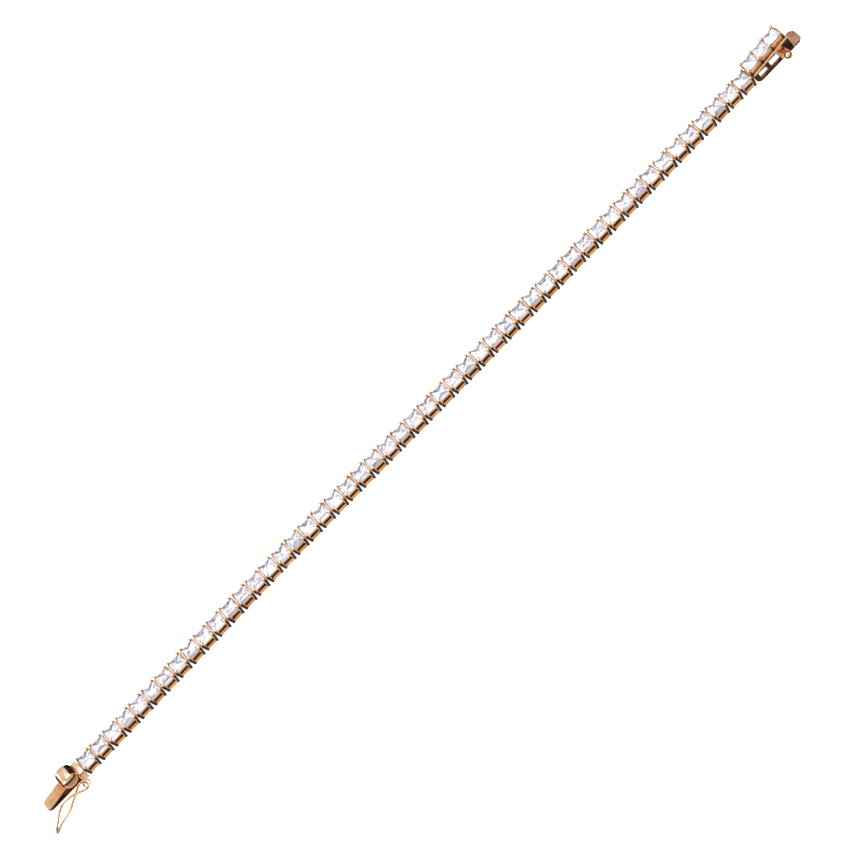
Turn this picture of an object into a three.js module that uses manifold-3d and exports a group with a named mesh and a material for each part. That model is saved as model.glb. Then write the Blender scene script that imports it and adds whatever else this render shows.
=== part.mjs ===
// Tennis bracelet laid open in a line: square claw-set stones hinged link to link, a box clasp at
// the +X end, and at the -X end the spring tongue that fits it and a figure-eight safety catch.
// Millimetres, +Z up. The bracelet lies on z = 0 and is seen from the -Y side in the usual view.
import * as THREE from "three";
import * as BufferGeometryUtils from "three/addons/utils/BufferGeometryUtils.js";
import Module from "manifold-3d";

const wasm = await Module();
wasm.setup();

// Chain
const LINK_COUNT = 51;
const LINKS_IN_FIRST_HALF = 26;
const PITCH = 3.25;
const BOW = 0.5;
const BOW_LINKS = 30;
const SWAY_ANGLE = 0.008;
const SWAY_STEP = 2.4;

// One link: a tapered four-sided basket, open below, with a through slot in each long side and
// its four corners carried up past the rim as claws beside the stone
const BASKET = { bottomX: 1.28, bottomY: 1.42, topX: 1.5, topY: 1.6, rim: 1.96, height: 2.72 };
const CLAW_INNER = { x: 1.13, y: 1.21 };
const CAVITY = { halfX: 0.98, halfY: 1.08, top: 1.5 };
const SLOT = { halfLength: 0.84, bottom: 0.74, top: 1.36 };
const WIRE_SIDES = 5;

// Hinge: an eye at the +X end of each link turns round a cross bar in the next link's -X wall
const BAR = { inset: 1.15, height: 0.6, radius: 0.14, halfLength: 0.62 };
const NOTCH = { halfWidth: 0.48, bottom: -0.1, top: 1.14 };
const EYE = { halfWidth: 0.34, halfHeight: 0.4, root: 1.16, hole: 0.2, looseHole: 0.24 };
const EYE_PLAY = 0.08;

// Princess-cut stone in a link: square with cut corners and a flat table, sunk in the rim
const STONE = { half: 1.42, tableHalf: 0.87, crown: 0.54, pavilion: 0.3, girdle: 1.94, corner: 0.75 };
const STONE_SIDES = 8;

// End block and eyelet at the tongue end; x counts back from the chain's first link edge
const BLOCK = { length: 1.3, halfWidth: 1.55, bottom: 0.05, top: 2.25, gap: 0.1, round: 0.5 };
const EYELET = { x: -1.2, y: -3.0, z: 0.95, radius: 0.62, wire: 0.17 };
const EYELET_SIDES = 6;
const EYELET_STEPS = 12;

// Tongue: a folded strip whose lower leaf slides home in the box and whose upper leaf springs
const TONGUE = { halfWidth: 1.15, thickness: 0.26, bottom: 0.37, tip: -9.3, tail: -0.72, rise: 0.19 };
const FOLD_RADIUS = 0.29;
const TONGUE_CORNER = 0.55;
const TAIL_CLEARANCE = 0.12;

// Thumb press: a barrel across the upper leaf, cut flat below, with squashed round ends
const PRESS = {
  back: -1.53, front: -4.5, halfWidth: 1.95, bottom: 0.95, top: 3.6, belly: 2.25, squash: 0.4,
};
const PRESS_SIDES = 16;
const PRESS_CAP_STEPS = 3;

// Figure-eight safety catch: two mirrored wires in a leaning plane, soldered together at the waist
// between the small and the large loop, and again at the tip; each station is [along, side]
const CATCH = { wire: 0.22, swing: 13, lean: 35, arch: 0.3, sag: 0.0377 };
const CATCH_SIDES = 6;
const CATCH_STEPS = 21;
const CATCH_STATIONS = [
  [-0.04, -0.12], [-0.04, 0.3], [0.28, 0.62], [0.95, 0.72], [1.95, 0.4], [2.6, 0.15], [3.2, 0.15],
  [4.0, 0.45], [5.1, 0.8], [6.6, 0.72], [7.9, 0.43], [8.85, 0.27], [9.75, 0.19], [9.84, -0.1],
];

// Box clasp; x counts from its own -X end
const CLASP = {
  length: 9.0, halfWidth: 1.7, wall: 0.35, backHeight: 2.2, mouthHeight: 3.25, heel: 1.1, backWall: 0.95,
};
const CLASP_GAP = 0.05;
const LIP = { length: 1.9, thickness: 0.35, corner: 0.7 };
const WINDOWS = [
  { from: 1.02, to: 2.9, bottom: 0.58, top: 1.95 },
  { from: 3.66, to: 5.92, bottom: 0.58, top: 2.25 },
];
const FLOOR_OPENING_HALF_WIDTH = 0.95;
const PEG = { x: 6.9, y: -2.85, z: 1.0, radius: 0.75, neck: 0.28 };
const PEG_SIDES = 12;
const PEG_RINGS = 7;

// Three settings soldered on the box's sloping top, sharing their corner claws
const SETTING_COUNT = 3;
const SETTING_PITCH = 2.82;
const SETTING = {
  start: 0.15, bottomX: 1.12, bottomY: 1.35, topX: 1.44, topY: 1.55, height: 1.15, sunk: 0.2,
};
const WELL = { bottomX: 0.5, bottomY: 0.62, topX: 1.14, topY: 1.22, depth: 0.8, rise: 0.1 };
const BOX_CLAW = {
  y: 1.43, inwardY: 1.12, radius: 0.25, tipRadius: 0.17, bottom: 0.35, top: 1.86, endLean: 0.12,
};
const BOX_STONE = { half: 1.3, tableHalf: 0.8, crown: 0.42, pavilion: 1.15, girdle: 1.42, corner: 0.63 };

// Metal and stone finishes
const goldFinish = { color: 0xd49a66, roughness: 0.24, metalness: 1.0 };
const stoneFinish = { color: 0xe9ebf2, roughness: 0.05, metalness: 0.0 };

// A closed geometry as a boolean solid
function toSolid(geometry) {
  geometry.deleteAttribute("normal");
  geometry.deleteAttribute("uv");
  const welded = BufferGeometryUtils.mergeVertices(geometry, 1e-5);
  const mesh = new wasm.Mesh({
    numProp: 3,
    vertProperties: new Float32Array(welded.attributes.position.array),
    triVerts: new Uint32Array(welded.index.array),
  });
  return new wasm.Manifold(mesh);
}

// A boolean solid as a geometry with flat facets
function toGeometry(solid) {
  const mesh = solid.getMesh();
  const geometry = new THREE.BufferGeometry();
  geometry.setAttribute("position", new THREE.BufferAttribute(new Float32Array(mesh.vertProperties), 3));
  geometry.setIndex(new THREE.BufferAttribute(new Uint32Array(mesh.triVerts), 1));
  geometry.computeVertexNormals();
  return geometry;
}

function joined(solids) {
  return solids.reduce((sum, solid) => sum.add(solid));
}

function block(x0, x1, y0, y1, z0, z1) {
  const geometry = new THREE.BoxGeometry(x1 - x0, y1 - y0, z1 - z0);
  geometry.translate((x0 + x1) / 2, (y0 + y1) / 2, (z0 + z1) / 2);
  return toSolid(geometry);
}

// A four-sided block centred on Z whose half sizes change from its bottom to its top
function taperedBlock(bottomX, bottomY, topX, topY, z0, z1) {
  const geometry = new THREE.BoxGeometry(2, 2, z1 - z0);
  geometry.translate(0, 0, (z0 + z1) / 2);
  const position = geometry.attributes.position;
  for (let i = 0; i < position.count; i += 1) {
    const atTop = position.getZ(i) > (z0 + z1) / 2;
    position.setX(i, position.getX(i) * (atTop ? topX : bottomX));
    position.setY(i, position.getY(i) * (atTop ? topY : bottomY));
  }
  return toSolid(geometry);
}

// A side outline in X and Z, run across the bracelet from -halfWidth to +halfWidth
function acrossSolid(shape, halfWidth, curveSegments = 3) {
  const depth = 2 * halfWidth;
  const geometry = new THREE.ExtrudeGeometry(shape, { depth, bevelEnabled: false, curveSegments });
  geometry.rotateX(Math.PI / 2);
  geometry.translate(0, halfWidth, 0);
  return toSolid(geometry);
}

function uprightSolid(shape, z0, z1, curveSegments = 3) {
  const depth = z1 - z0;
  const geometry = new THREE.ExtrudeGeometry(shape, { depth, bevelEnabled: false, curveSegments });
  geometry.translate(0, 0, z0);
  return toSolid(geometry);
}

function polygon(points) {
  return new THREE.Shape(points.map(([x, y]) => new THREE.Vector2(x, y)));
}

// A straight tapered rod between two points
function rod(from, to, startRadius, endRadius, sides) {
  const start = new THREE.Vector3(...from);
  const end = new THREE.Vector3(...to);
  const along = end.clone().sub(start);
  const geometry = new THREE.CylinderGeometry(endRadius, startRadius, along.length(), sides);
  const upright = new THREE.Vector3(0, 1, 0);
  const turn = new THREE.Quaternion().setFromUnitVectors(upright, along.clone().normalize());
  geometry.applyQuaternion(turn);
  const middle = start.add(end).multiplyScalar(0.5);
  geometry.translate(middle.x, middle.y, middle.z);
  return toSolid(geometry);
}

// Eight-sided turned stone whose long sides are pushed out to a square with cut corners
function cutStone(size) {
  const profile = [
    new THREE.Vector2(0, size.girdle - size.pavilion),
    new THREE.Vector2(size.half, size.girdle),
    new THREE.Vector2(size.tableHalf, size.girdle + size.crown),
    new THREE.Vector2(0, size.girdle + size.crown),
  ];
  const geometry = new THREE.LatheGeometry(profile, STONE_SIDES, Math.PI / STONE_SIDES);
  geometry.rotateX(Math.PI / 2);
  geometry.scale(1 / Math.cos(Math.PI / STONE_SIDES), 1 / Math.cos(Math.PI / STONE_SIDES), 1);
  const position = geometry.attributes.position;
  for (let i = 0; i < position.count; i += 1) {
    const x = position.getX(i);
    const y = position.getY(i);
    if (Math.abs(x) < Math.abs(y)) {
      position.setX(i, Math.sign(x) * Math.abs(y) * size.corner);
    } else {
      position.setY(i, Math.sign(y) * Math.abs(x) * size.corner);
    }
  }
  return toSolid(geometry);
}

// The bar across a -X wall that the neighbour's eye turns round
function hingeBar(x) {
  const near = [x, -BAR.halfLength, BAR.height];
  const far = [x, BAR.halfLength, BAR.height];
  return rod(near, far, BAR.radius, BAR.radius, WIRE_SIDES);
}

// A flat eye that reaches from its root at rootX to the bar at barX; hole is half the opening,
// and shift moves the opening back so that the bar bears on the eye's far side
function hingeEye(rootX, barX, hole, shift) {
  const low = BAR.height - EYE.halfHeight;
  const high = BAR.height + EYE.halfHeight;
  const end = barX + EYE.halfHeight;
  const outline = polygon([[rootX, low], [end, low], [end, high], [rootX, high]]);
  const left = barX - shift - hole;
  const right = barX - shift + hole;
  outline.holes.push(polygon([[left, BAR.height - hole], [left, BAR.height + hole],
    [right, BAR.height + hole], [right, BAR.height - hole]]));
  return acrossSolid(outline, EYE.halfWidth);
}

// One link with its stone, centred on X = 0
function chainLink(looseEye) {
  const reach = 2 * PITCH;
  const { bottomX, bottomY, topX, topY, rim, height } = BASKET;
  const form = taperedBlock(bottomX, bottomY, topX, topY, 0, height);
  const cuts = [
    block(-CLAW_INNER.x, CLAW_INNER.x, -reach, reach, rim, height + 1),
    block(-reach, reach, -CLAW_INNER.y, CLAW_INNER.y, rim, height + 1),
    block(-CAVITY.halfX, CAVITY.halfX, -CAVITY.halfY, CAVITY.halfY, -1, CAVITY.top),
    block(-SLOT.halfLength, SLOT.halfLength, -reach, reach, SLOT.bottom, SLOT.top),
    block(-reach, 0, -NOTCH.halfWidth, NOTCH.halfWidth, NOTCH.bottom, NOTCH.top),
  ];
  const basket = cuts.reduce((left, cut) => left.subtract(cut), form);
  const barX = PITCH - BAR.inset;
  const hole = looseEye ? EYE.looseHole : EYE.hole;
  const eye = hingeEye(EYE.root, barX, hole, looseEye ? 0 : EYE_PLAY);
  return joined([basket, cutStone(STONE), hingeBar(-BAR.inset), eye]);
}

// Where a link lies: the chain bows a little to the far side and each link sits slightly askew
function linkLay(index) {
  const along = Math.min(index / BOW_LINKS, 1);
  const offset = BOW * Math.sin(Math.PI * along) ** 2;
  const slope = (BOW * Math.PI / (BOW_LINKS * PITCH)) * Math.sin(2 * Math.PI * along);
  const yaw = Math.atan(slope) + SWAY_ANGLE * Math.sin(SWAY_STEP * index);
  return { x: (index + 0.5) * PITCH, y: offset, yaw };
}

// A run of links joined into one body; its last eye stays loose, for the neighbour's bar
function chainRun(first, last) {
  const links = [];
  for (let index = first; index <= last; index += 1) {
    const lay = linkLay(index);
    const link = chainLink(index === last);
    links.push(link.rotate([0, 0, THREE.MathUtils.radToDeg(lay.yaw)]).translate([lay.x, lay.y, 0]));
  }
  return joined(links);
}

// Block at the tongue end, with the eye for the first link and the ring for the safety catch
function endBlock() {
  const right = -BLOCK.gap;
  const left = right - BLOCK.length;
  const outline = new THREE.Shape();
  outline.moveTo(left, BLOCK.bottom);
  outline.lineTo(right, BLOCK.bottom);
  outline.lineTo(right, BLOCK.top);
  outline.absarc(left + BLOCK.round, BLOCK.top - BLOCK.round, BLOCK.round, Math.PI / 2, Math.PI, false);
  outline.closePath();
  const body = acrossSolid(outline, BLOCK.halfWidth);
  const seatHalf = TONGUE.halfWidth + TAIL_CLEARANCE;
  const seatBottom = TONGUE.bottom - TAIL_CLEARANCE;
  const seatTop = TONGUE.bottom + TONGUE.thickness + TAIL_CLEARANCE;
  const seat = block(left - 1, TONGUE.tail + TAIL_CLEARANCE, -seatHalf, seatHalf, seatBottom, seatTop);
  const firstBar = PITCH / 2 - BAR.inset;
  const eye = hingeEye(right - BLOCK.length / 4, firstBar, EYE.looseHole, 0);
  const ring = new THREE.TorusGeometry(EYELET.radius, EYELET.wire, EYELET_SIDES, EYELET_STEPS);
  ring.translate(EYELET.x, EYELET.y, EYELET.z);
  const stemStart = [EYELET.x, EYELET.wire - BLOCK.halfWidth, EYELET.z];
  const stemEnd = [EYELET.x, EYELET.y + EYELET.radius, EYELET.z];
  const stem = rod(stemStart, stemEnd, EYELET.wire, EYELET.wire, EYELET_SIDES);
  return joined([body.subtract(seat), eye, toSolid(ring), stem]);
}

// Folded strip: lower leaf, round fold at the tip, upper leaf rising under the thumb press
function tongueSpring() {
  const { halfWidth, thickness, bottom, tip, tail, rise } = TONGUE;
  const foldX = tip + FOLD_RADIUS;
  const leafEnd = PRESS.back - thickness;
  const upperStart = bottom + 2 * FOLD_RADIUS;
  const upperEnd = upperStart + rise * (leafEnd - foldX);
  const outline = new THREE.Shape();
  outline.moveTo(tail, bottom);
  outline.lineTo(tail, bottom + thickness);
  outline.lineTo(foldX + FOLD_RADIUS, bottom + thickness);
  outline.lineTo(leafEnd, upperEnd - thickness);
  outline.lineTo(leafEnd, upperEnd);
  outline.lineTo(foldX, upperStart);
  outline.absarc(foldX, bottom + FOLD_RADIUS, FOLD_RADIUS, Math.PI / 2, 1.5 * Math.PI, false);
  outline.closePath();
  const cut = TONGUE_CORNER;
  const step = cut / 3;
  const plan = polygon([
    [tip, cut - halfWidth], [tip + step, step - halfWidth], [tip + cut, -halfWidth], [0, -halfWidth],
    [0, halfWidth], [tip + cut, halfWidth], [tip + step, halfWidth - step], [tip, halfWidth - cut],
  ]);
  const strip = acrossSolid(outline, halfWidth).intersect(uprightSolid(plan, 0, PRESS.top));
  return strip.add(thumbPress());
}

function thumbPress() {
  const halfLength = (PRESS.back - PRESS.front) / 2;
  const height = PRESS.top - PRESS.belly;
  const straight = 2 * (PRESS.halfWidth / PRESS.squash - height);
  const geometry = new THREE.CapsuleGeometry(height, straight, PRESS_CAP_STEPS, PRESS_SIDES);
  geometry.scale(halfLength / height, PRESS.squash, 1);
  geometry.translate(PRESS.front + halfLength, 0, PRESS.belly);
  const across = 2 * PRESS.halfWidth;
  const keep = block(PRESS.front - 1, PRESS.back + 1, -across, across, PRESS.bottom, PRESS.top + 1);
  return toSolid(geometry).intersect(keep);
}

// A point of the safety catch from its eyelet: along runs to the tip, side lies across the wire's
// own leaning plane, and the whole arches up a little between the eyelet and the tip
function catchPoint(along, side) {
  const swing = THREE.MathUtils.degToRad(CATCH.swing);
  const lean = THREE.MathUtils.degToRad(CATCH.lean);
  const rise = side + CATCH.arch * along - CATCH.sag * along ** 2;
  const inward = rise * Math.sin(lean);
  const x = -along * Math.cos(swing) - inward * Math.sin(swing);
  const y = -along * Math.sin(swing) + inward * Math.cos(swing);
  return new THREE.Vector3(x, y, rise * Math.cos(lean));
}

// One of the two mirrored wires; its ends cross the middle, inside the other wire
function catchSide(side) {
  const points = CATCH_STATIONS.map(([along, width]) => catchPoint(along, side * width));
  const section = new THREE.Shape();
  section.absarc(0, 0, CATCH.wire, 0, 2 * Math.PI, false);
  const geometry = new THREE.ExtrudeGeometry(section, {
    steps: CATCH_STEPS,
    curveSegments: CATCH_SIDES / 2,
    extrudePath: new THREE.CatmullRomCurve3(points),
    bevelEnabled: false,
  });
  return toSolid(geometry);
}

function safetyCatch() {
  return catchSide(-1).add(catchSide(1));
}

// Box body: a wedge seen from the side, hollow, with windows, floor openings and the floor lip
function boxBody() {
  const { length, halfWidth, wall, backHeight, mouthHeight, heel, backWall } = CLASP;
  const end = length + LIP.length;
  const outline = new THREE.Shape();
  outline.moveTo(0, heel);
  outline.absarc(heel, heel, heel, Math.PI, 1.5 * Math.PI, false);
  outline.lineTo(end, 0);
  outline.lineTo(end, LIP.thickness);
  outline.lineTo(length, LIP.thickness);
  outline.lineTo(length, mouthHeight);
  outline.lineTo(0, backHeight);
  outline.closePath();
  const plan = polygon([
    [-1, -halfWidth], [end - LIP.corner, -halfWidth], [end, LIP.corner - halfWidth],
    [end, halfWidth - LIP.corner], [end - LIP.corner, halfWidth], [-1, halfWidth],
  ]);
  const slope = (mouthHeight - backHeight) / length;
  const hollowEnd = length + 1;
  const hollow = polygon([[backWall, wall], [hollowEnd, wall],
    [hollowEnd, backHeight + slope * hollowEnd - wall], [backWall, backHeight + slope * backWall - wall]]);
  let body = acrossSolid(outline, halfWidth, 2).intersect(uprightSolid(plan, -1, 2 * mouthHeight));
  body = body.subtract(acrossSolid(hollow, halfWidth - wall));
  for (const window of WINDOWS) {
    const across = 2 * halfWidth;
    const open = FLOOR_OPENING_HALF_WIDTH;
    body = body.subtract(block(window.from, window.to, -across, across, window.bottom, window.top));
    body = body.subtract(block(window.from, window.to, -open, open, -1, 2 * wall));
  }
  const hingeRoom = block(
    -1, backWall + wall, -NOTCH.halfWidth, NOTCH.halfWidth, NOTCH.bottom, NOTCH.top,
  );
  return body.subtract(hingeRoom);
}

// Turns and lifts what is made level onto the box's sloping top
function onBoxTop(solid) {
  const slope = Math.atan2(CLASP.mouthHeight - CLASP.backHeight, CLASP.length);
  return solid.rotate([0, -THREE.MathUtils.radToDeg(slope), 0]).translate([0, 0, CLASP.backHeight]);
}

function settingX(index) {
  return SETTING.start + (index + 0.5) * SETTING_PITCH;
}

function boxSetting(index) {
  const { bottomX, bottomY, topX, topY, height, sunk } = SETTING;
  const setting = taperedBlock(bottomX, bottomY, topX, topY, -sunk, height);
  return onBoxTop(setting.translate([settingX(index), 0, 0]));
}

function boxWell(index) {
  const { bottomX, bottomY, topX, topY, depth, rise } = WELL;
  const well = taperedBlock(bottomX, bottomY, topX, topY, -depth, SETTING.height + rise);
  return onBoxTop(well.translate([settingX(index), 0, 0]));
}

// Claws stand at the joints between settings; the two end pairs also lean towards their stone
function boxClaw(joint, side) {
  const x = SETTING.start + joint * SETTING_PITCH;
  const leans = [BOX_CLAW.endLean, 0, 0, -BOX_CLAW.endLean];
  const foot = [x, side * BOX_CLAW.y, BOX_CLAW.bottom];
  const tip = [x + leans[joint], side * BOX_CLAW.inwardY, BOX_CLAW.top];
  return onBoxTop(rod(foot, tip, BOX_CLAW.radius, BOX_CLAW.tipRadius, WIRE_SIDES));
}

function ballPeg() {
  const ball = new THREE.SphereGeometry(PEG.radius, PEG_SIDES, PEG_RINGS);
  ball.translate(PEG.x, PEG.y, PEG.z);
  const root = [PEG.x, CLASP.wall / 2 - CLASP.halfWidth, PEG.z];
  return toSolid(ball).add(rod(root, [PEG.x, PEG.y, PEG.z], PEG.neck, PEG.neck, EYELET_SIDES));
}

function boxClasp() {
  const solids = [boxBody(), hingeBar(PITCH / 2 - BAR.inset - CLASP_GAP), ballPeg()];
  for (let index = 0; index < SETTING_COUNT; index += 1) {
    solids.push(boxSetting(index));
  }
  for (let joint = 0; joint <= SETTING_COUNT; joint += 1) {
    solids.push(boxClaw(joint, -1), boxClaw(joint, 1));
  }
  let clasp = joined(solids);
  for (let index = 0; index < SETTING_COUNT; index += 1) {
    clasp = clasp.subtract(boxWell(index));
  }
  return clasp;
}

function boxStone(index) {
  return onBoxTop(cutStone(BOX_STONE).translate([settingX(index), 0, 0]));
}

function namedMesh(name, solid, finish) {
  const mesh = new THREE.Mesh(toGeometry(solid), new THREE.MeshStandardMaterial(finish));
  mesh.name = name;
  return mesh;
}

const boxGroup = new THREE.Group();
boxGroup.position.x = LINK_COUNT * PITCH + CLASP_GAP;
boxGroup.add(namedMesh("box_clasp", boxClasp(), goldFinish));
for (let index = 0; index < SETTING_COUNT; index += 1) {
  boxGroup.add(namedMesh(`box_stone_${index + 1}`, boxStone(index), stoneFinish));
}

const safety = namedMesh("safety_catch", safetyCatch(), goldFinish);
safety.position.set(EYELET.x, EYELET.y, EYELET.z);

const bracelet = new THREE.Group();
bracelet.add(namedMesh("chain_links_a", chainRun(0, LINKS_IN_FIRST_HALF - 1), goldFinish));
bracelet.add(namedMesh("chain_links_b", chainRun(LINKS_IN_FIRST_HALF, LINK_COUNT - 1), goldFinish));
bracelet.add(boxGroup);
bracelet.add(namedMesh("end_block", endBlock(), goldFinish));
bracelet.add(namedMesh("tongue_spring", tongueSpring(), goldFinish));
bracelet.add(safety);

// The origin is the middle of the whole bracelet's outline, on the surface that it lies on
const extent = new THREE.Box3().setFromObject(bracelet, true);
const middle = extent.getCenter(new THREE.Vector3());
bracelet.position.set(-middle.x, -middle.y, 0);

export default bracelet;
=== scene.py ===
"""Tennis bracelet laid open in a line on a pale surface: 51 hinged links with square stones, a box
clasp at the +X end, and the spring tongue and the safety catch at the -X end.

The forms are shaped in millimetres, with X counted from the first link's left edge, and go to the
frame's metres when a piece is finished.
"""
import math

import bmesh
import bpy
from mathutils import Matrix, Vector


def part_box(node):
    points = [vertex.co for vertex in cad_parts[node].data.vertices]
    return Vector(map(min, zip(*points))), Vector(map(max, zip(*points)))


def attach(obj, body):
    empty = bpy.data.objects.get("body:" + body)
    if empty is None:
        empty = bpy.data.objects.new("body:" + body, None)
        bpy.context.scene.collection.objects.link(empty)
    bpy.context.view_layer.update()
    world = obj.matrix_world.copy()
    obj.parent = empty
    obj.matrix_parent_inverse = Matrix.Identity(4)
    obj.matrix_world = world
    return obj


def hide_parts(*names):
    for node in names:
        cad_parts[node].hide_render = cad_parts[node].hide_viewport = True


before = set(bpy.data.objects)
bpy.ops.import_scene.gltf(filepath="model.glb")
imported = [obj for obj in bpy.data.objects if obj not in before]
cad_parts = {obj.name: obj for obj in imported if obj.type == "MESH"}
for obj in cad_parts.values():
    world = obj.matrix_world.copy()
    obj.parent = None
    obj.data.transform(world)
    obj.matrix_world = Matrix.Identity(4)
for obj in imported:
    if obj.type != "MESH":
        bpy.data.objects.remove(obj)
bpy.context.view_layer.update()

MM = 0.001

# Chain
LINK_COUNT = 51
LINKS_IN_FIRST_HALF = 26
PITCH = 3.25
BOW = 0.5
BOW_LINKS = 30
SWAY_ANGLE = 0.008
SWAY_STEP = 2.4

# One link
RAIL_TOP = {"x": 1.55, "y": 1.5, "width": 0.2, "low": 1.46, "high": 1.93, "flare": 1.03}
RAIL_LOW = {"x": 1.19, "y": 1.36, "width": 0.24, "low": 0.03, "high": 0.86, "flare": 1.06}
POST = {"foot": (1.13, 1.3, 0.06), "knee": (1.35, 1.44, 1.6), "tip": (1.2, 1.44, 2.42)}
POST_RADIUS = 0.26
BEAD = {"radius": 0.33, "height": 0.3, "x": 1.17, "y": 1.45, "z": 2.46}
INNER_WALL = {"x": 0.95, "near": 1.0, "far": 1.08, "low": 0.1, "high": 1.52}
END_WALL = {"x": 1.15, "thick": 0.2, "half": 1.15, "gap": 0.5, "low": 0.3, "high": 1.42}
SEAT = {"low_half": 0.7, "high_half": 1.24, "low": 0.6, "high": 1.5, "wall": 0.05}
HINGE = {"inset": 1.15, "z": 0.6, "pin": 0.14, "pin_half": 0.62, "eye": 0.3, "wire": 0.12}
TANG = {"root": 1.2, "half": 0.2, "rise": 0.16, "short": 0.22}

# Square stones with cut corners; chevrons are cuts across the crown, by their start and slope
STONE = {
    "half": 1.41, "long": 1.1, "corner": 0.8, "table": 0.9, "girdle": 1.98, "crown": 0.48, "depth": 1.2,
}
BOX_STONE = {
    "half": 1.3, "long": 1.0, "corner": 0.68, "table": 0.8, "girdle": 1.42, "crown": 0.42, "depth": 0.95,
}
CUT = {"shoulder": 0.55, "lower_crown": 0.66, "belt": 0.06, "keel": 0.6, "point": 0.1}
CHEVRONS = (-0.5, -0.1, 0.2, 0.6)
CHEVRON_SLOPE = (0.62, 0.78)
# Painted reflections in the stones: a grey chevron band across the crown, darker far facets, and a
# random spread of tone from facet to facet
GREY_CHEVRON_REFLECTION = {"slope": 0.8, "width": 0.42, "above": 0.1, "tone": 0.5}
FAR_FACET_REFLECTION = {"y": 0.9, "tone": 0.14}
FACET_REFLECTION_SPREAD = {"most": 0.62, "power": 2.2}

# Box clasp; X counts from its own left end
BOX_LEFT = LINK_COUNT * PITCH + 0.05
BOX = {"length": 9.0, "half": 1.7, "low": 2.2, "high": 3.25}
SETTINGS = {"count": 3, "pitch": 2.82, "start": 0.15}
# Painted reflection on the box's side walls: a bright band between two slanted lines at these places,
# with painted shade on the rest of the walls below their top edge
BOX_SHINE = {"from": 6.0, "to": 7.9, "slant": 0.25}
BOX_RAIL = {"inner": 1.42, "outer": 1.75, "start": 0.1, "short": 0.02, "low": -0.24, "high": 0.18}
BOX_RAIL_EDGE = 0.11
MOUTH_RIM = {"inner": 1.5, "outer": 1.74, "behind": 0.16, "ahead": 0.03, "low": 0.12, "high": 3.1}
MOUTH_RIM_EDGE = 0.06
BOX_CLAW = {"foot": (1.45, 0.16), "bend": (1.42, 0.95), "joint": 0.9, "tip": (1.27, 1.6)}
BOX_CLAW_RADIUS = (0.27, 0.24)
BOX_CLAW_LEAN = 0.12
BOX_BEAD = {"y": 1.26, "z": 1.62, "radius": 0.38, "height": 0.32}
PEG = {"place": (6.9, -2.85, 1.0), "radius": 0.75, "neck": 0.28, "root": 0.322, "root_y": -1.6}

# Tongue end
BLOCK = {
    "left": -1.4, "right": -0.1, "half": 1.55, "low": 0.05, "high": 2.25, "round": 0.5, "edge": 0.07,
}
EYELET = {"place": (-1.2, -3.0, 0.95), "shift": 0.03, "radius": 0.65, "wire": 0.17, "stem": 0.24}
TONGUE = {"half": 1.25, "thick": 0.26, "low": 0.37, "tip": -9.3, "tail": -0.72, "rise": 0.19}
TONGUE_END = -1.79
TONGUE_SHARES = (0.12, 0.5, 1.0)
TONGUE_COLUMNS = 12
FOLD = 0.29
FOLD_STEPS = 8
TIP_CORNER = 0.55
TIP_REACH = 1.4
# The tip end of the tongue, up to this slanted line, takes a paler, rougher finish
PALER_TIP = {"end": -6.9, "slant": 0.45}
PRESS = {"back": -1.2, "front": -4.6, "half": 2.02, "low": 1.0, "high": 3.78, "belly": 2.6, "cut": 0.05}
PRESS_END = 0.75
# Painted reflection and shade on the thumb press, chosen by each face's direction: a near-black band on
# its far right, deeper gold on its near right, on a band at its left and underneath
PRESS_REFLECTION_AND_SHADE = {"right": 0.42, "far_part": -0.35, "left_from": -0.72, "left_to": -0.5, "under": -0.05}

# Safety catch: stations of its wire as (along, across), in a leaning plane
CATCH = {"wire": 0.215, "swing": 13, "lean": 35, "arch": 0.3, "sag": 0.0377, "back": -0.06, "tip": 9.84}
CATCH_SIDE = [
    (0.02, 0.3), (0.3, 0.6), (0.85, 0.77), (1.65, 0.44), (2.3, 0.17), (2.85, 0.17), (3.8, 0.45),
    (5.1, 0.8), (6.6, 0.72), (7.9, 0.43), (8.85, 0.27), (9.6, 0.2),
]

block_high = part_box("end_block")[1]
ORIGIN = Vector((block_high.x - 0.875 * MM, block_high.y - 1.55 * MM, 0.0))
PLACE = Matrix.Translation(ORIGIN) @ Matrix.Scale(MM, 4)
SHARP_ANGLE = math.radians(34)

# Finish numbers. SHADED, the leaf shade and the lip shade are darker copies of the gold that paint
# shade; DEEP is a tone of its own on the rails and the tongue, and paints shade and reflection bands on
# the box and the press
POLISHED, DEEP, SHADED, SATIN, PAINTED_LEAF_SHADE, PAINTED_LIP_SHADE = range(6)


# Building blocks

def shaped(bm, verts, *moves):
    """Moves the given vertices by each matrix in turn."""
    for move in moves:
        bmesh.ops.transform(bm, matrix=move, verts=verts)
    return verts


def shaped_since(bm, before, *moves):
    """Moves the vertices made since `before` by each matrix in turn."""
    return shaped(bm, [v for v in bm.verts if v not in before], *moves)


def stretch(x, y, z):
    return Matrix.Diagonal((x, y, z, 1))


def round_edges(bm, verts, width, segments=2):
    """Bevels every edge among the given vertices."""
    chosen = set(verts)
    edges = [e for e in bm.edges if e.verts[0] in chosen and e.verts[1] in chosen]
    bmesh.ops.bevel(
        bm, geom=edges, offset=width, offset_type="OFFSET", segments=segments, profile=0.5,
        affect="EDGES", material=-1, clamp_overlap=True,
    )


def bar(bm, low, high, edge=0.04):
    """A straight bar between two corners, with softened edges."""
    low, high = Vector(low), Vector(high)
    size = high - low
    made = bmesh.ops.create_cube(bm, size=1)["verts"]
    shaped(bm, made, stretch(*size), Matrix.Translation((low + high) / 2))
    if edge:
        round_edges(bm, made, edge, 1)


def side_bar(bm, side, x, y, z, edge=0.04):
    """A bar on one side of the middle, by its range along each axis; y counts outwards."""
    near, far = sorted((side * y[0], side * y[1]))
    bar(bm, (x[0], near, z[0]), (x[1], far, z[1]), edge)


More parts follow.
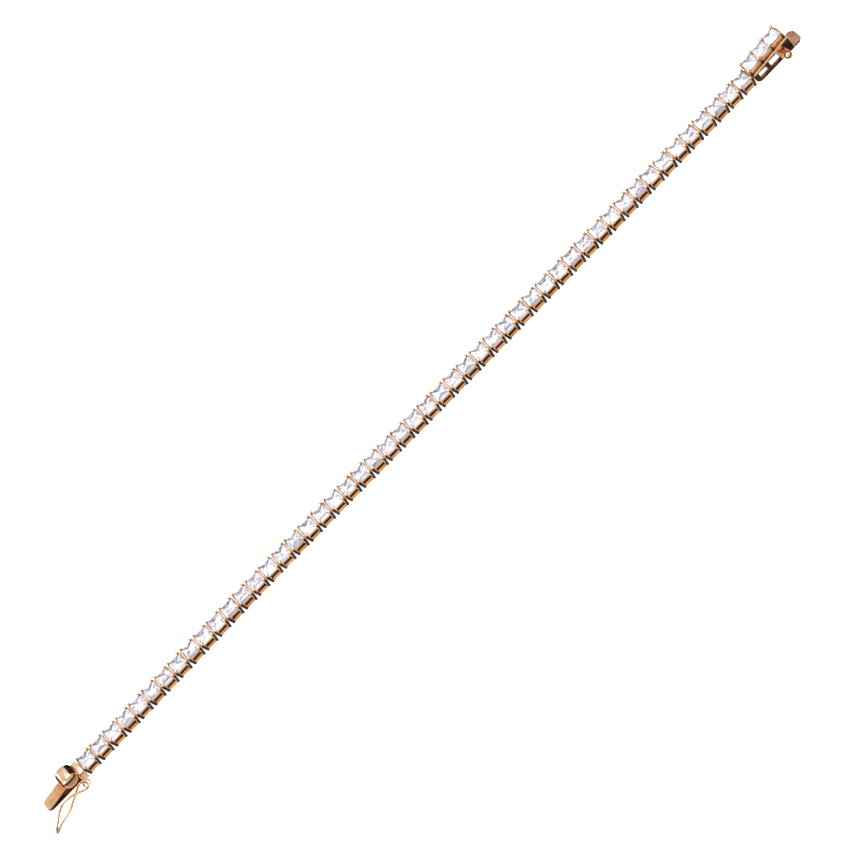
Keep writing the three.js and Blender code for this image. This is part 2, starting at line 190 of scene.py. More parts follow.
def rod(bm, start, end, start_radius, end_radius, segments=6, caps=True):
    """A straight tapered rod from one point to another."""
    start, end = Vector(start), Vector(end)
    along = end - start
    turn = along.to_track_quat("Z", "Y").to_matrix().to_4x4()
    bmesh.ops.create_cone(
        bm, cap_ends=caps, segments=segments, radius1=start_radius, radius2=end_radius,
        depth=along.length, matrix=Matrix.Translation((start + end) / 2) @ turn,
    )


def rail(bm, x, y, width, low, high, flare, edge=0.05):
    """A four-sided rail round a setting, wider at its top by the flare."""
    grid = bmesh.ops.create_grid(bm, x_segments=1, y_segments=1, size=1)["verts"]
    shaped(bm, grid, stretch(x, y, 1), Matrix.Translation((0, 0, low)))
    centre = [f for f in bm.faces if all(v in grid for v in f.verts)]
    sides = bmesh.ops.inset_individual(bm, faces=centre, thickness=width, depth=0)["faces"]
    bmesh.ops.delete(bm, geom=centre, context="FACES")
    lower = {v for f in sides for v in f.verts}
    raised = bmesh.ops.extrude_face_region(bm, geom=sides, use_keep_orig=True)["geom"]
    upper = [v for v in raised if isinstance(v, bmesh.types.BMVert)]
    shaped(bm, upper, Matrix.Translation((0, 0, high - low)), stretch(flare, flare, 1))
    round_edges(bm, list(lower) + upper, edge, 1)


def form(name, bm):
    """Keeps a shape as a mesh that is copied many times."""
    bmesh.ops.recalc_face_normals(bm, faces=bm.faces)
    mesh = bpy.data.meshes.new(name)
    bm.to_mesh(mesh)
    bm.free()
    return mesh


def add_form(bm, mesh, placed):
    """Adds one copy of a kept form, moved by a matrix."""
    first = len(bm.verts)
    bm.from_mesh(mesh)
    bm.verts.ensure_lookup_table()
    shaped(bm, bm.verts[first:], placed)


def coloured(bm, before, finish):
    """Gives the faces made since `before` one of the piece's finishes."""
    for face in bm.faces:
        if face not in before:
            face.material_index = finish


def piece(name, bm, materials, body="bracelet", replaced=(), smooth=True):
    """Takes a shape to its place in the frame as a finished piece that rides on a body."""
    shaped(bm, bm.verts, PLACE)
    for face in bm.faces:
        face.smooth = smooth
    for edge in bm.edges:
        edge.smooth = edge.calc_face_angle(math.pi) < SHARP_ANGLE
    mesh = bpy.data.meshes.new(name)
    bm.to_mesh(mesh)
    bm.free()
    for material in materials:
        mesh.materials.append(material)
    made = bpy.data.objects.new(name, mesh)
    bpy.context.scene.collection.objects.link(made)
    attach(made, body)
    if replaced:
        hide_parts(*replaced)
    return made


def soften(made, width, angle):
    """Rounds the edges of a finished piece that are sharper than the angle."""
    soft = made.modifiers.new("soft_edges", "BEVEL")
    soft.width = width * MM
    soft.segments = 2
    soft.limit_method = "ANGLE"
    soft.angle_limit = math.radians(angle)


# Finishes

def node(tree, kind, **values):
    """A shader node with its inputs and settings given by name."""
    made = tree.nodes.new(kind)
    for name, value in values.items():
        if name in made.inputs:
            made.inputs[name].default_value = value
        else:
            setattr(made, name, value)
    return made


def two_tones(tree, factor, first, second, low=0.36, high=0.66):
    """A ramp between two tones, driven by a pattern."""
    tone = node(tree, "ShaderNodeValToRGB")
    for element, place, colour in zip(tone.color_ramp.elements, (low, high), (first, second)):
        element.position = place
        element.color = (*colour, 1)
    tree.links.new(factor, tone.inputs["Fac"])
    return tone.outputs["Color"]


def gold_finish(name, deep, pale, rough=(0.12, 0.26), patch=450.0, grain=0.12):
    """Warm gold plate: its tone drifts, and fine rubbing marks break up the shine."""
    material = bpy.data.materials.new(name)
    material.use_nodes = True
    tree = material.node_tree
    shader = tree.nodes["Principled BSDF"]
    shader.inputs["Metallic"].default_value = 1.0
    place = node(tree, "ShaderNodeTexCoord")
    drift = node(tree, "ShaderNodeTexNoise", Scale=patch, Detail=3.0, Roughness=0.6)
    rub = node(tree, "ShaderNodeTexNoise", Scale=patch * 5, Detail=4.0, Roughness=0.7)
    shine = node(tree, "ShaderNodeMapRange")
    shine.inputs["To Min"].default_value = rough[0]
    shine.inputs["To Max"].default_value = rough[1]
    marks = node(tree, "ShaderNodeBump", Strength=grain, Distance=0.00003)
    links = tree.links
    links.new(place.outputs["Object"], drift.inputs["Vector"])
    links.new(place.outputs["Object"], rub.inputs["Vector"])
    links.new(two_tones(tree, drift.outputs["Fac"], deep, pale), shader.inputs["Base Color"])
    links.new(rub.outputs["Fac"], shine.inputs["Value"])
    links.new(shine.outputs["Result"], shader.inputs["Roughness"])
    links.new(rub.outputs["Fac"], marks.inputs["Height"])
    links.new(marks.outputs["Normal"], shader.inputs["Normal"])
    return material


def stone_finish(name, clear=0.35):
    """Bright cut stone, a little milky, with fine clouds; its facets' painted reflection tones run from
    white through pale lilac to grey, and give it a faint painted glow.
    """
    material = bpy.data.materials.new(name)
    material.use_nodes = True
    tree = material.node_tree
    shader = tree.nodes["Principled BSDF"]
    shader.inputs["Transmission Weight"].default_value = clear
    shader.inputs["IOR"].default_value = 1.9
    place = node(tree, "ShaderNodeTexCoord")
    facet = node(tree, "ShaderNodeAttribute", attribute_name="facet_reflection_tone")
    cloud = node(tree, "ShaderNodeTexNoise", Scale=1400.0, Detail=1.5)
    added = node(tree, "ShaderNodeMath", operation="MULTIPLY_ADD")
    added.inputs[1].default_value = 0.5
    tone = node(tree, "ShaderNodeValToRGB")
    ramp = tone.color_ramp
    ramp.elements[0].position = 0.3
    ramp.elements[0].color = (0.92, 0.92, 0.94, 1)
    ramp.elements[1].position = 1.0
    ramp.elements[1].color = (0.16, 0.16, 0.18, 1)
    middle = ramp.elements.new(0.62)
    middle.color = (0.56, 0.53, 0.62, 1)
    polish = node(tree, "ShaderNodeMapRange")
    polish.inputs["To Min"].default_value = 0.01
    polish.inputs["To Max"].default_value = 0.07
    links = tree.links
    links.new(place.outputs["Object"], cloud.inputs["Vector"])
    links.new(cloud.outputs["Fac"], polish.inputs["Value"])
    links.new(cloud.outputs["Fac"], added.inputs[0])
    links.new(facet.outputs["Fac"], added.inputs[2])
    links.new(added.outputs["Value"], tone.inputs["Fac"])
    links.new(tone.outputs["Color"], shader.inputs["Base Color"])
    # Painted glow: the stone gives off a faint light in its own facet tones
    links.new(tone.outputs["Color"], shader.inputs["Emission Color"])
    shader.inputs["Emission Strength"].default_value = 0.05
    links.new(polish.outputs["Result"], shader.inputs["Roughness"])
    return material


# Chain

def link_lay(index):
    """Where a link lies: the chain bows a little, and each link sits slightly askew."""
    along = min(index / BOW_LINKS, 1.0)
    offset = BOW * math.sin(math.pi * along) ** 2
    slope = BOW * math.pi / (BOW_LINKS * PITCH) * math.sin(2 * math.pi * along)
    yaw = math.atan(slope) + SWAY_ANGLE * math.sin(SWAY_STEP * index)
    return Matrix.Translation(((index + 0.5) * PITCH, offset, 0)) @ Matrix.Rotation(yaw, 4, "Z")


def torus(bm, radius, wire, steps, sides, placed):
    """A round ring of wire about its own Z, moved by a matrix."""
    before = set(bm.verts)
    ring = bmesh.ops.create_circle(bm, segments=sides, radius=wire)["verts"]
    shaped(bm, ring, Matrix.Rotation(math.pi / 2, 4, "X"), Matrix.Translation((radius, 0, 0)))
    rim = [e for e in bm.edges if e.verts[0] in ring and e.verts[1] in ring]
    bmesh.ops.spin(
        bm, geom=ring + rim, cent=(0, 0, 0), axis=(0, 0, 1), angle=math.tau, steps=steps,
        use_merge=True,
    )
    shaped_since(bm, before, placed)


def bead(bm, place, radius, height, segments=8, rings=5):
    """A round bead, or a flattened one where its height differs from its radius."""
    made = bmesh.ops.create_uvsphere(bm, u_segments=segments, v_segments=rings, radius=1)["verts"]
    shaped(bm, made, stretch(radius, radius, height), Matrix.Translation(place))


def stone_seat(bm):
    """The four-sided cup that the stone's lower half stands in."""
    before = set(bm.faces)
    quarter = Matrix.Rotation(math.pi / 4, 4, "Z")
    middle = Matrix.Translation((0, 0, (SEAT["low"] + SEAT["high"]) / 2))
    bmesh.ops.create_cone(
        bm, cap_ends=False, segments=4, radius1=SEAT["low_half"] * math.sqrt(2),
        radius2=SEAT["high_half"] * math.sqrt(2), depth=SEAT["high"] - SEAT["low"],
        matrix=middle @ quarter,
    )
    walls = [f for f in bm.faces if f not in before]
    bmesh.ops.solidify(bm, geom=walls, thickness=SEAT["wall"])
    for face in bm.faces:
        if face not in before:
            face.normal_update()
            outwards = face.calc_center_median()
            outwards.z = 0
            face.material_index = SHADED if face.normal.dot(outwards) > 0 else POLISHED


def claw_post(bm, side_x, side_y):
    """One corner's post with its claw and bead tip; its outer side is in shade."""
    foot, knee, tip = (
        Vector((side_x * x, side_y * y, z)) for x, y, z in (POST["foot"], POST["knee"], POST["tip"])
    )
    before = set(bm.faces)
    rod(bm, foot, knee, POST_RADIUS, POST_RADIUS)
    coloured(bm, before, SHADED)
    before = set(bm.faces)
    rod(bm, knee, tip, POST_RADIUS, POST_RADIUS * 0.8)
    for face in bm.faces:
        if face not in before and side_y * face.normal.y > 0.3:
            face.material_index = SHADED
    bead(bm, (side_x * BEAD["x"], side_y * BEAD["y"], BEAD["z"]), BEAD["radius"], BEAD["height"])


def link_walls(bm):
    """Walls inside a link: the ends, with a gap for the next link's eye, and both sides, which close the
    slots from behind so that they look dark.
    """
    low_high = (END_WALL["low"], END_WALL["high"])
    half_thick = END_WALL["thick"] / 2
    left = (-END_WALL["x"] - half_thick, -END_WALL["x"] + half_thick)
    right = (END_WALL["x"] - half_thick, END_WALL["x"] + half_thick)
    before = set(bm.faces)
    for side in (-1, 1):
        side_bar(bm, side, left, (END_WALL["gap"], END_WALL["half"]), low_high, 0)
    side_bar(bm, 1, right, (-END_WALL["half"], END_WALL["half"]), low_high, 0)
    coloured(bm, before, SHADED)
    before = set(bm.faces)
    for side in (-1, 1):
        side_bar(bm, side, (-INNER_WALL["x"], INNER_WALL["x"]), (INNER_WALL["near"], INNER_WALL["far"]),
                 (INNER_WALL["low"], INNER_WALL["high"]), 0)
    coloured(bm, before, DEEP)


def hinge_eye(bm, root_x, eye_x, steps, sides):
    """The eye that turns on the next link's pin, and the tang that carries it."""
    rise = TANG["rise"]
    side_bar(bm, 1, (root_x, eye_x - TANG["short"]), (-TANG["half"], TANG["half"]),
             (HINGE["z"] - rise, HINGE["z"] + rise), 0)
    torus(bm, HINGE["eye"], HINGE["wire"], steps, sides,
          Matrix.Translation((eye_x, 0, HINGE["z"])) @ Matrix.Rotation(math.pi / 2, 4, "X"))


def link_form():
    """Metal of one link: two rails, four claw posts with bead tips, the seat and the hinge."""
    bm = bmesh.new()
    for size in (RAIL_TOP, RAIL_LOW):
        rail(bm, **size)
    coloured(bm, set(), DEEP)
    for side_x in (-1, 1):
        for side_y in (-1, 1):
            claw_post(bm, side_x, side_y)
    link_walls(bm)
    stone_seat(bm)
    before = set(bm.faces)
    pin_x, pin_half, pin_z = -HINGE["inset"], HINGE["pin_half"], HINGE["z"]
    rod(bm, (pin_x, -pin_half, pin_z), (pin_x, pin_half, pin_z), HINGE["pin"], HINGE["pin"])
    hinge_eye(bm, TANG["root"], PITCH - HINGE["inset"], 10, 6)
    coloured(bm, before, DEEP)
    return form("link_form", bm)


def stone_form(size, name):
    """Square cut: table crossed by chevrons, two rows of crown facets, belt and lower cone."""
    bm = bmesh.new()
    eighth = math.pi / 8
    ring = bmesh.ops.create_circle(
        bm, segments=8, radius=1 / math.cos(eighth), matrix=Matrix.Rotation(eighth, 4, "Z"),
    )["verts"]
    for vert in ring:
        if abs(vert.co.x) < abs(vert.co.y):
            vert.co.x = math.copysign(size["corner"] * abs(vert.co.y), vert.co.x)
        else:
            vert.co.y = math.copysign(size["corner"] * abs(vert.co.x), vert.co.y)
    half, girdle = size["half"], size["girdle"]
    shaped(bm, ring, stretch(half, half * size["long"], 1), Matrix.Translation((0, 0, girdle)))
    girdle_edges = list(bm.edges)

    def row(edges, scale, height):
        """Runs a row of facets from a ring of edges to a smaller ring at a height."""
        made = bmesh.ops.extrude_edge_only(bm, edges=edges)["geom"]
        verts = [g for g in made if isinstance(g, bmesh.types.BMVert)]
        level = verts[0].co.z
        shaped(bm, verts, Matrix.Translation((0, 0, height - level)), stretch(scale, scale, 1))
        return [g for g in made if isinstance(g, bmesh.types.BMEdge)]

    table = size["table"] / half
    shoulder = 1 - CUT["shoulder"] * (1 - table)
    lower_crown = row(girdle_edges, shoulder, girdle + CUT["lower_crown"] * size["crown"])
    upper_crown = row(lower_crown, table / shoulder, girdle + size["crown"])
    bmesh.ops.edgeloop_fill(bm, edges=upper_crown)
    below = girdle - CUT["belt"]
    belt = row(girdle_edges, 1.0, below)
    first = row(belt, CUT["keel"], below - CUT["keel"] * size["depth"])
    last = row(first, CUT["point"], below - size["depth"])
    bmesh.ops.edgeloop_fill(bm, edges=last)
    crown_from = girdle + GREY_CHEVRON_REFLECTION["above"]
    for start in CHEVRONS:
        for side in (-1, 1):
            crown = [f for f in bm.faces if f.calc_center_median().z > crown_from]
            edges = [e for e in bm.edges if any(f in crown for f in e.link_faces)]
            verts = [v for v in bm.verts if any(f in crown for f in v.link_faces)]
            bmesh.ops.bisect_plane(
                bm, geom=verts + edges + crown, plane_co=(0, start, 0),
                plane_no=(side * CHEVRON_SLOPE[0], CHEVRON_SLOPE[1], 0), dist=0.02,
            )
    bmesh.ops.recalc_face_normals(bm, faces=bm.faces)
    # Each facet's painted reflection tone: grey in the chevron band on the crown, darker on the far
    # facets
    tone = bm.faces.layers.float.new("facet_reflection_tone")
    for face in bm.faces:
        middle = face.calc_center_median()
        fold = middle.y - GREY_CHEVRON_REFLECTION["slope"] * abs(middle.x)
        if 0.0 < fold < GREY_CHEVRON_REFLECTION["width"] and middle.z > crown_from:
            face[tone] = GREY_CHEVRON_REFLECTION["tone"]
        elif middle.y > FAR_FACET_REFLECTION["y"]:
            face[tone] = FAR_FACET_REFLECTION["tone"]
    return form(name, bm)


def vary_facet_reflections(bm, seed):
    """Gives each facet its own small share of painted reflection tone, by a fixed formula of its number.
    """
    tone = bm.faces.layers.float["facet_reflection_tone"]
    for index, face in enumerate(bm.faces):
        scattered = math.sin(12.9 * index + 78.2 * seed) * 43758.5 % 1.0
        face[tone] += FACET_REFLECTION_SPREAD["most"] * scattered ** FACET_REFLECTION_SPREAD["power"]


def chain(golds, stone):
    """Both halves of the chain: the metal as one piece and the stones as another."""
    link = link_form()
    cut = stone_form(STONE, "chain_stone_form")
    halves = {"a": range(0, LINKS_IN_FIRST_HALF), "b": range(LINKS_IN_FIRST_HALF, LINK_COUNT)}
    for half, indexes in halves.items():
        metal_bm, stone_bm = bmesh.new(), bmesh.new()
        for index in indexes:
            lay = link_lay(index)
            add_form(metal_bm, link, lay)
            add_form(stone_bm, cut, lay)
        vary_facet_reflections(stone_bm, 1)
        piece(f"link_settings_{half}", metal_bm, golds, replaced=[f"chain_links_{half}"])
        piece(f"link_stones_{half}", stone_bm, [stone], smooth=False)


# Box clasp

BOX_PLACE = Matrix.Translation((BOX_LEFT, 0, 0))
BOX_SLOPE = math.atan2(BOX["high"] - BOX["low"], BOX["length"])
ON_TOP = BOX_PLACE @ Matrix.Translation((0, 0, BOX["low"])) @ Matrix.Rotation(-BOX_SLOPE, 4, "Y")


def joint_x(joint):
    """Where a joint between two box stones, or an end of their row, comes along the sloping top."""
    return SETTINGS["start"] + joint * SETTINGS["pitch"]


def box_case(golds):
    """The wedge itself, from a merged copy of its solid, with softened edges, and with painted
    reflection and shade on its faces.
    """
    bm = bmesh.new()
    bm.from_mesh(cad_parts["box_clasp"].data)
    bmesh.ops.remove_doubles(bm, verts=bm.verts, dist=0.001 * MM)
    bmesh.ops.dissolve_limit(
        bm, angle_limit=math.radians(1), verts=bm.verts, edges=bm.edges, use_dissolve_boundaries=False,
    )
    shaped(bm, bm.verts, PLACE.inverted())
    for x in (BOX_SHINE["from"], BOX_SHINE["to"]):
        bmesh.ops.bisect_plane(
            bm, geom=bm.verts[:] + bm.edges[:] + bm.faces[:], plane_co=(BOX_LEFT + x, 0, 0),
            plane_no=(1, 0, BOX_SHINE["slant"]), dist=0.01,
        )
    # Painted light by place and direction: a bright reflection band on the side walls with painted shade
    # either side, a darker copy of the gold as painted shade on the mouth's lip, and the deeper gold as
    # painted shade on faces that don't face up
    for face in bm.faces:
        middle = face.calc_center_median()
        along = middle.x - BOX_LEFT
        lean = BOX_SHINE["slant"] * middle.z
        side_wall = abs(face.normal.y) > 0.9 and abs(middle.y) > BOX["half"] - 0.1
        wall_top = BOX["low"] + (BOX["high"] - BOX["low"]) * (along - lean) / BOX["length"]
        if side_wall and middle.z < wall_top:
            shines = BOX_SHINE["from"] < along + lean < BOX_SHINE["to"]
            face.material_index = DEEP if shines else SHADED
        elif along > BOX["length"]:
            face.material_index = PAINTED_LIP_SHADE
        elif face.normal.z < 0.5:
            face.material_index = DEEP
    case = piece("box_case", bm, golds, replaced=["box_clasp"])
    soften(case, 0.04, 35)


def box_claw(bm, joint, side):
    """A claw between two box stones, or at an end of the row, where it leans in to its stone."""
    lean = {0: BOX_CLAW_LEAN, SETTINGS["count"]: -BOX_CLAW_LEAN}.get(joint, 0)
    x = joint_x(joint)
    (foot_y, foot_z), (bend_y, bend_z) = BOX_CLAW["foot"], BOX_CLAW["bend"]
    tip_y, tip_z = BOX_CLAW["tip"]
    stout, slim = BOX_CLAW_RADIUS
    before, old_faces = set(bm.verts), set(bm.faces)
    bend_x = x + 0.5 * lean
    rod(bm, (x, side * foot_y, foot_z), (bend_x, side * bend_y, bend_z), stout, stout, 8)
    coloured(bm, old_faces, SHADED)
    rod(bm, (bend_x, side * bend_y, BOX_CLAW["joint"]), (x + lean, side * tip_y, tip_z), stout, slim, 8)
    bead(bm, (x + lean, side * BOX_BEAD["y"], BOX_BEAD["z"]), BOX_BEAD["radius"], BOX_BEAD["height"],
         12, 8)
    shaped_since(bm, before, ON_TOP)


def box_trim(golds):
    """Bright rails along the case's top edges, the rim of the mouth, and the claws' bead tips."""
    bm = bmesh.new()
    run = BOX["length"] / math.cos(BOX_SLOPE)
    rail_x = (BOX_RAIL["start"], run - BOX_RAIL["short"])
    rim_x = (BOX["length"] - MOUTH_RIM["behind"], BOX["length"] + MOUTH_RIM["ahead"])
    for side in (-1, 1):
        before = set(bm.verts)
        side_bar(bm, side, rail_x, (BOX_RAIL["inner"], BOX_RAIL["outer"]),
                 (BOX_RAIL["low"], BOX_RAIL["high"]), BOX_RAIL_EDGE)
        shaped_since(bm, before, ON_TOP)
        before = set(bm.verts)
        side_bar(bm, side, rim_x, (MOUTH_RIM["inner"], MOUTH_RIM["outer"]),
                 (MOUTH_RIM["low"], MOUTH_RIM["high"]), MOUTH_RIM_EDGE)
        shaped_since(bm, before, BOX_PLACE)
    for joint in range(SETTINGS["count"] + 1):
        for side in (-1, 1):
            box_claw(bm, joint, side)
    piece("box_trim", bm, golds)


def box_stones(stone):
    """The three stones on the box, one piece each."""
    cut = stone_form(BOX_STONE, "box_stone_form")
    for index in range(SETTINGS["count"]):
        bm = bmesh.new()
        middle = Matrix.Translation((joint_x(index + 0.5), 0, 0))
        add_form(bm, cut, ON_TOP @ middle)
        vary_facet_reflections(bm, index + 2)
        piece(f"box_cut_stone_{index + 1}", bm, [stone],
              replaced=[f"box_stone_{index + 1}"], smooth=False)


def ball_peg(golds):
    """The ball that the safety catch snaps over, on its neck."""
    bm = bmesh.new()
    place = Vector(PEG["place"])
    bead(bm, place, PEG["radius"], PEG["radius"], 32, 20)
    rod(bm, (place.x, PEG["root_y"], place.z), place, PEG["root"], PEG["neck"], 16)
    shaped(bm, bm.verts, BOX_PLACE)
    piece("peg_ball", bm, golds)


# Tongue end

def end_block(golds):
    """Block with a rounded back edge, the eye for the first link, the stem and the eyelet."""
    bm = bmesh.new()
    size = {"x": BLOCK["right"] - BLOCK["left"], "z": BLOCK["high"] - BLOCK["low"]}
    made = bmesh.ops.create_cube(bm, size=1)["verts"]
    shaped(bm, made, stretch(size["x"], 2 * BLOCK["half"], size["z"]),
           Matrix.Translation((BLOCK["left"] + size["x"] / 2, 0, BLOCK["low"] + size["z"] / 2)))
    back = [e for e in bm.edges if all(
        v.co.x < BLOCK["left"] + 0.01 and v.co.z > BLOCK["high"] - 0.01 for v in e.verts)]
    bmesh.ops.bevel(bm, geom=back, offset=BLOCK["round"], offset_type="OFFSET", segments=6,
                    profile=0.5, affect="EDGES", material=-1)
    sharp = [e for e in bm.edges if e.calc_face_angle(0) > math.radians(40)]
    bmesh.ops.bevel(bm, geom=sharp, offset=BLOCK["edge"], offset_type="OFFSET", segments=2,
                    profile=0.5, affect="EDGES", material=-1)
    hinge_eye(bm, BLOCK["right"] - 0.1, PITCH / 2 - HINGE["inset"], 12, 8)
    place = Vector(EYELET["place"])
    place.x += EYELET["shift"]
    torus(bm, EYELET["radius"], EYELET["wire"], 32, 12, Matrix.Translation(place))
    rod(bm, (place.x, -BLOCK["half"] + 0.1, place.z),
        (place.x, place.y + EYELET["radius"], place.z), EYELET["stem"], EYELET["wire"], 12)
    piece("end_block_and_eyelet", bm, golds, replaced=["end_block"])


def tongue_line():
    """The strip's side line as (x, z): lower leaf, fold at the tip, and the rising upper leaf."""
    low = TONGUE["low"]
    fold_x, fold_z, top = TONGUE["tip"] + FOLD, low + FOLD, low + 2 * FOLD
    line = [(TONGUE["tail"], low), (fold_x + FOLD, low)]
    for step in range(FOLD_STEPS + 1):
        turn = math.pi * step / FOLD_STEPS
        line.append((fold_x - FOLD * math.sin(turn), fold_z - FOLD * math.cos(turn)))
    for share in TONGUE_SHARES:
        run = share * (TONGUE_END - fold_x)
        line.append((fold_x + run, top + TONGUE["rise"] * run))
    return line


def round_tip(bm):
    """Draws the tongue's tip in at its corners, each on a quarter circle."""
    inner = TONGUE["half"] - TIP_CORNER
    for vert in bm.verts:
        reach = max(0.0, min(1.0, (TONGUE["tip"] + TIP_REACH - vert.co.x) / TIP_REACH))
        past = max(0.0, abs(vert.co.y) - inner)
        vert.co.x += reach * (TIP_CORNER - math.sqrt(max(0.0, TIP_CORNER ** 2 - past ** 2)))


def tongue(golds):
    """Folded spring strip: a sheet run along its side line, given its thickness, tip rounded."""
    bm = bmesh.new()
    thick, low, half = TONGUE["thick"], TONGUE["low"], TONGUE["half"]
    fold_x = TONGUE["tip"] + FOLD
    verts = [bm.verts.new((x, -half, z)) for x, z in tongue_line()]
    edges = [bm.edges.new(pair) for pair in zip(verts, verts[1:])]
    for _ in range(TONGUE_COLUMNS):
        made = bmesh.ops.extrude_edge_only(bm, edges=edges)["geom"]
        fresh = [g for g in made if isinstance(g, bmesh.types.BMVert)]
        edges = [g for g in made if isinstance(g, bmesh.types.BMEdge)
                 and all(v in fresh for v in g.verts)]
        shaped(bm, fresh, Matrix.Translation((0, 2 * half / TONGUE_COLUMNS, 0)))
    round_tip(bm)
    bmesh.ops.recalc_face_normals(bm, faces=bm.faces)
    underside = min(bm.faces, key=lambda f: f.calc_center_median().z)
    if underside.normal.z > 0:
        bmesh.ops.reverse_faces(bm, faces=bm.faces)
    bmesh.ops.solidify(bm, geom=list(bm.faces), thickness=thick)
    bmesh.ops.recalc_face_normals(bm, faces=bm.faces)
    # A slanted cut marks off the tip end for its paler, rougher finish
    bmesh.ops.bisect_plane(
        bm, geom=bm.verts[:] + bm.edges[:] + bm.faces[:], plane_co=(PALER_TIP["end"], 0, 0),
        plane_no=(1, -PALER_TIP["slant"], 0), dist=0.01,
    )
    # Painted shade: the faces between the two leaves take a dark brown copy of the gold, and the strip's
    # side edges the near-black shaded copy
    for face in bm.faces:
        middle = face.calc_center_median()
        between_leaves = abs(face.normal.z) > 0.5 and (
            (face.normal.z > 0 and middle.z < low + 1.5 * thick)
            or (face.normal.z < 0 and middle.z > low + 0.5 * thick and middle.x > fold_x))
        in_paler_tip = middle.x < PALER_TIP["end"] + PALER_TIP["slant"] * middle.y
        if abs(face.normal.y) > 0.7:
            face.material_index = SHADED
        elif between_leaves:
            face.material_index = PAINTED_LEAF_SHADE
        else:
            face.material_index = SATIN if in_paler_tip else DEEP
    strip = piece("tongue_strip", bm, golds)
    soften(strip, 0.03, 50)


def thumb_press(golds):
    """Full round barrel across the tongue, with flattened domed ends and a flat underside, and with
    painted reflection and shade on its faces.
    """
    bm = bmesh.new()
    made = bmesh.ops.create_uvsphere(bm, u_segments=48, v_segments=31, radius=1)["verts"]
    shaped(bm, made, Matrix.Rotation(math.pi / 2, 4, "X"))
    height = PRESS["high"] - PRESS["belly"]
    depth = PRESS["belly"] - PRESS["low"] + PRESS["cut"]
    domed = PRESS_END * height
    for vert in made:
        away = PRESS["half"] - domed + domed * abs(vert.co.y)
        vert.co.y = math.copysign(away, vert.co.y)
        vert.co.z *= height if vert.co.z > 0 else depth
    long_half = (PRESS["back"] - PRESS["front"]) / 2
    shaped(bm, made, stretch(long_half, 1, 1),
           Matrix.Translation((PRESS["front"] + long_half, 0, PRESS["belly"])))
    cut = bmesh.ops.bisect_plane(
        bm, geom=bm.verts[:] + bm.edges[:] + bm.faces[:], plane_co=(0, 0, PRESS["low"]),
        plane_no=(0, 0, -1), clear_outer=True,
    )["geom_cut"]
    rim = [g for g in cut if isinstance(g, bmesh.types.BMEdge)]
    if rim:
        bmesh.ops.edgeloop_fill(bm, edges=rim)
    bmesh.ops.recalc_face_normals(bm, faces=bm.faces)
    # Painted reflection and shade by each face's direction
    for face in bm.faces:
        middle = face.calc_center_median()
        to_left = PRESS_REFLECTION_AND_SHADE["left_from"] < face.normal.x < PRESS_REFLECTION_AND_SHADE["left_to"]
        to_right = face.normal.x > PRESS_REFLECTION_AND_SHADE["right"]
        underneath = face.normal.z < PRESS_REFLECTION_AND_SHADE["under"]
        if to_right and not underneath and middle.y > PRESS_REFLECTION_AND_SHADE["far_part"]:
            face.material_index = SHADED
        elif underneath or to_right or to_left:
            face.material_index = DEEP
    piece("thumb_press", bm, golds, replaced=["tongue_spring"])


def catch_point(along, across):
    """A place on the catch's wire from the eyelet's middle, with its plane's lean and arch."""
    swing, lean = math.radians(CATCH["swing"]), math.radians(CATCH["lean"])
    rise = across + CATCH["arch"] * along - CATCH["sag"] * along ** 2
    inward = rise * math.sin(lean)
    return Vector((-along * math.cos(swing) - inward * math.sin(swing),
                   -along * math.sin(swing) + inward * math.cos(swing), rise * math.cos(lean)))


def smooth_loop(points, steps):
    """Points along a smooth closed line through the given ones."""
    count, line = len(points), []
    for i in range(count):
        p0, p1, p2, p3 = (points[(i + k - 1) % count] for k in range(4))
        for s in range(steps):
            t = s / steps
            line.append(0.5 * ((2 * p1) + (p2 - p0) * t + (2 * p0 - 5 * p1 + 4 * p2 - p3) * t ** 2
                               + (3 * p1 - p0 - 3 * p2 + p3) * t ** 3))
    return line


def safety_catch(golds):
    """Closed loop of round wire, nipped in at its waist and pinched to a tip."""
    far = [catch_point(along, across) for along, across in CATCH_SIDE]
    near = [catch_point(along, -across) for along, across in CATCH_SIDE]
    loop = [catch_point(CATCH["back"], 0)] + far + [catch_point(CATCH["tip"], 0)] + near[::-1]
    line = smooth_loop(loop, 5)
    curve = bpy.data.curves.new("catch_line", "CURVE")
    curve.dimensions = "3D"
    curve.bevel_depth = CATCH["wire"]
    curve.bevel_resolution = 3
    curve.use_fill_caps = False
    spline = curve.splines.new("POLY")
    spline.points.add(len(line) - 1)
    for point, place in zip(spline.points, line):
        point.co = (*(place + Vector(EYELET["place"])), 1)
    spline.use_cyclic_u = True
    carrier = bpy.data.objects.new("catch_line", curve)
    bpy.context.scene.collection.objects.link(carrier)
    bpy.context.view_layer.update()
    mesh = bpy.data.meshes.new_from_object(carrier)
    bm = bmesh.new()
    bm.from_mesh(mesh)
    bpy.data.objects.remove(carrier)
    bpy.data.meshes.remove(mesh)
    for face in bm.faces:
        face.material_index = SATIN
    piece("safety_wire", bm, golds, body="safety_catch", replaced=["safety_catch"])


# Surface, light and camera

SURFACE_HALF = 2.5
PAPER_GLOW = 0.95
PAPER_TONES = (0.90, 0.93)
# Brightness of the room, from straight down at 0 to straight up at 1
ROOM_BANDS = [(0.2, 0.85), (0.3, 0.08), (0.56, 0.05), (0.64, 0.9), (0.88, 1.0), (0.95, 0.6)]
ROOM_ENDS = (0.9, 0.7)
ROOM_STRENGTH = 0.95
# Name, place and width in metres, and power in watts
LIGHTS = [
    ("top_soft_light", (0.1, 0.25, 0.9), 0.7, 7.0),
    ("side_soft_light", (-0.7, -0.3, 0.5), 0.4, 3.0),
    ("back_strip_light", (-0.6, 0.6, 0.3), 0.16, 0.4),
]


def grey(share):
    return (share, share, share, 1)


